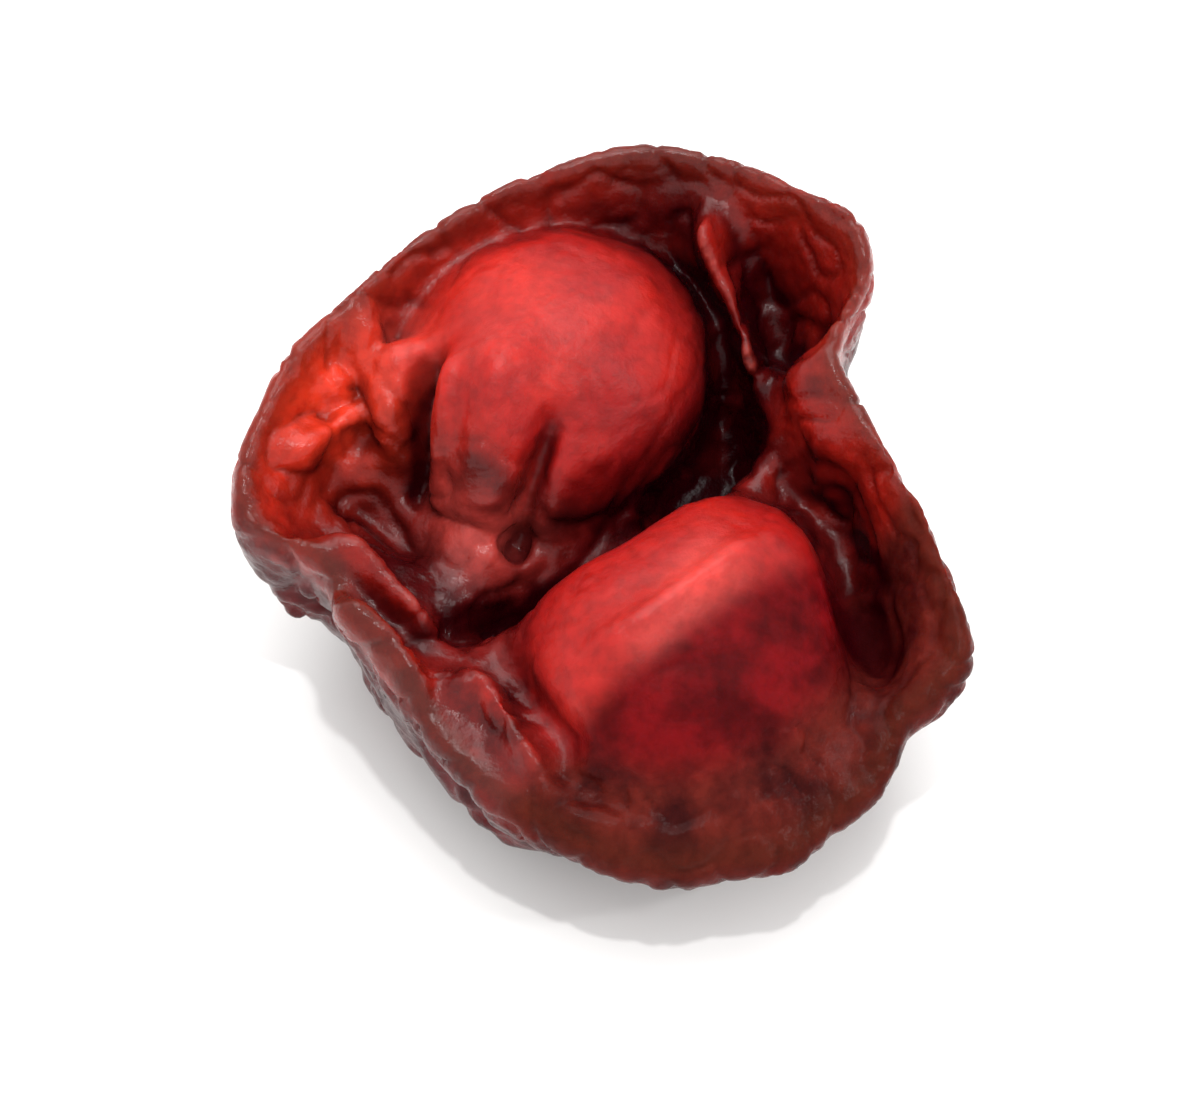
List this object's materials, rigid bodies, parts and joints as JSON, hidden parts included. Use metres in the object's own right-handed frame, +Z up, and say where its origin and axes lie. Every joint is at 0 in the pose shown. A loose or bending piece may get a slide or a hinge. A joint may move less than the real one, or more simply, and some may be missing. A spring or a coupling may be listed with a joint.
{
  "type": "schisandra berry",
  "caption": "Dried schisandra berry lying on its base: a thin wrinkled red skin, open cup-like at the top, sunk over its two rounded seeds and creased between them.",
  "frame": {"origin": "on the surface the berry rests on, under the middle of its bounding box", "axes": "+Z up through the sunk, open side; the picture's camera looks along +Y from above; +X to the picture's right"},
  "size_m": [0.0076, 0.0075, 0.0041],
  "materials": {
    "skin": "semi-gloss wrinkled dried fruit skin"
  },
  "bodies": {
    "root": {"berry": "skin"}
  },
  "joints": []
}
